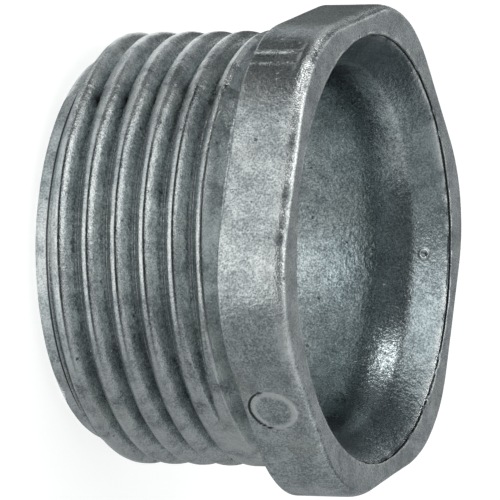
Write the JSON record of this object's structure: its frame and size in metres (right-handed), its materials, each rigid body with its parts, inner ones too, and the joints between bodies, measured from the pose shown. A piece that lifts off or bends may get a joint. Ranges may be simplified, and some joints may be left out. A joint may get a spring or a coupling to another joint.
{
  "type": "conduit nipple",
  "caption": "Cast zinc conduit nipple with a rounded hexagon head, a straight male thread and a smooth bell-mouthed wire way.",
  "frame": {"origin": "on the axis, at the face of the thread end that the part stands on", "axes": "+Z along the axis from the thread end to the head, +X through a head corner on the die's parting plane"},
  "size_m": [0.0302, 0.0284, 0.0172],
  "materials": {
    "cast_zinc": "as-cast zinc alloy, dull satin grey, mottled and finely grained"
  },
  "bodies": {
    "root": {"conduit_nipple": "cast_zinc"}
  },
  "joints": []
}
